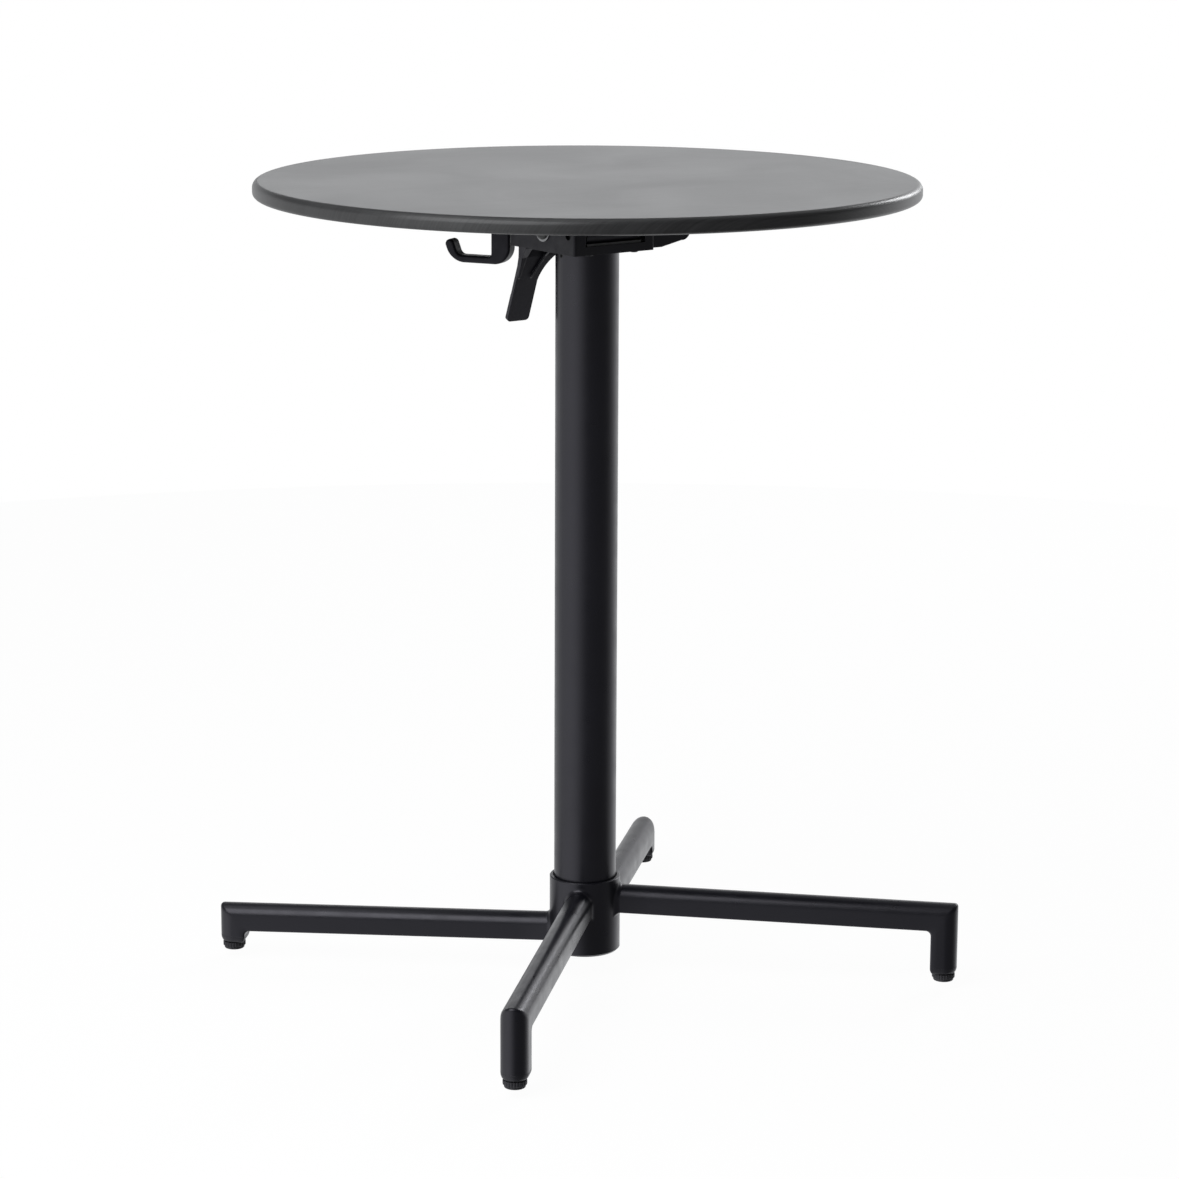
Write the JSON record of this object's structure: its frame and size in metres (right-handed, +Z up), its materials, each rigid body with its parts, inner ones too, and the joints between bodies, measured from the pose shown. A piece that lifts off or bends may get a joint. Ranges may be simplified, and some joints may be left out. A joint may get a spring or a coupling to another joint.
{
  "type": "bistro table",
  "caption": "Small round folding table: a thin top that tips up on a cross pin, a slim column and four legs at two heights so that tables nest, with a bag hook.",
  "frame": {"origin": "on the floor under the column's axis, which is the middle of the round top", "axes": "+Z up, +X along the fold pin, -Y towards the side that the top folds down on and where the higher pair of legs points"},
  "size_m": [0.6, 0.6, 0.738],
  "materials": {
    "top_laminate": "satin compact laminate, anthracite with a fine brushed decor",
    "powder_black": "fine-texture black powder coat",
    "cast_black": "die-cast, black powder coat",
    "moulded_black": "moulded glass-filled nylon, satin",
    "zinc_steel": "bright zinc plate",
    "black_steel": "black oxide",
    "spring_steel": "oiled spring wire",
    "bright_chrome": "bright plate",
    "brass_insert": "turned",
    "bearing_polymer": "plain bearing polymer",
    "rubber_black": "hard rubber"
  },
  "bodies": {
    "base": {"head_housing": "cast_black", "fold_pin": "black_steel", "rest_bar": "zinc_steel", "rest_sleeves": "rubber_black", "side_washers": "bright_chrome", "side_bolts": "black_steel", "head_set_screws": "black_steel", "knuckle_pad": "bearing_polymer", "knuckle_pad_screws": "black_steel", "lever_pin": "zinc_steel", "column_tube": "powder_black", "base_hub": "powder_black", "column_plug": "zinc_steel", "base_washer": "zinc_steel", "base_bolt": "black_steel", "base_cap": "moulded_black", "foot_end_caps": "moulded_black", "leg_high_left": "powder_black", "leg_high_right": "powder_black", "leg_low_right": "powder_black", "leg_low_left": "powder_black"},
    "top": {"tabletop": "top_laminate", "threaded_inserts": "brass_insert", "tilt_bracket": "cast_black", "bracket_screws": "black_steel", "fold_bushes": "bearing_polymer", "keeper_pin": "zinc_steel", "bag_hook": "moulded_black", "hook_screws": "black_steel"},
    "lever": {"release_lever": "moulded_black", "latch_pawl": "zinc_steel", "lever_spring": "spring_steel"},
    "glide_high_left_body": {"glide_high_left": "rubber_black", "glide_stud_high_left": "zinc_steel"},
    "glide_high_right_body": {"glide_high_right": "rubber_black", "glide_stud_high_right": "zinc_steel"},
    "glide_low_right_body": {"glide_low_right": "rubber_black", "glide_stud_low_right": "zinc_steel"},
    "glide_low_left_body": {"glide_low_left": "rubber_black", "glide_stud_low_left": "zinc_steel"}
  },
  "joints": [
    {"name": "top_fold", "type": "hinge", "parent": "base", "child": "top", "pos_m": [0, -0.032, 0.693], "axis": [1, 0, 0], "range_deg": [0, 90]},
    {"name": "release_lever_pivot", "type": "hinge", "parent": "base", "child": "lever", "pos_m": [0, 0.044, 0.69], "axis": [1, 0, 0], "range_deg": [-15, 0], "stiffness_Nm_per_rad": 0.6, "springref_deg": 20.05},
    {"name": "glide_high_left_screw", "type": "slide", "parent": "base", "child": "glide_high_left_body", "axis": [0, 0, -1], "range_m": [0, 0.008]},
    {"name": "glide_high_right_screw", "type": "slide", "parent": "base", "child": "glide_high_right_body", "axis": [0, 0, -1], "range_m": [0, 0.008]},
    {"name": "glide_low_right_screw", "type": "slide", "parent": "base", "child": "glide_low_right_body", "axis": [0, 0, -1], "range_m": [0, 0.008]},
    {"name": "glide_low_left_screw", "type": "slide", "parent": "base", "child": "glide_low_left_body", "axis": [0, 0, -1], "range_m": [0, 0.008]}
  ]
}
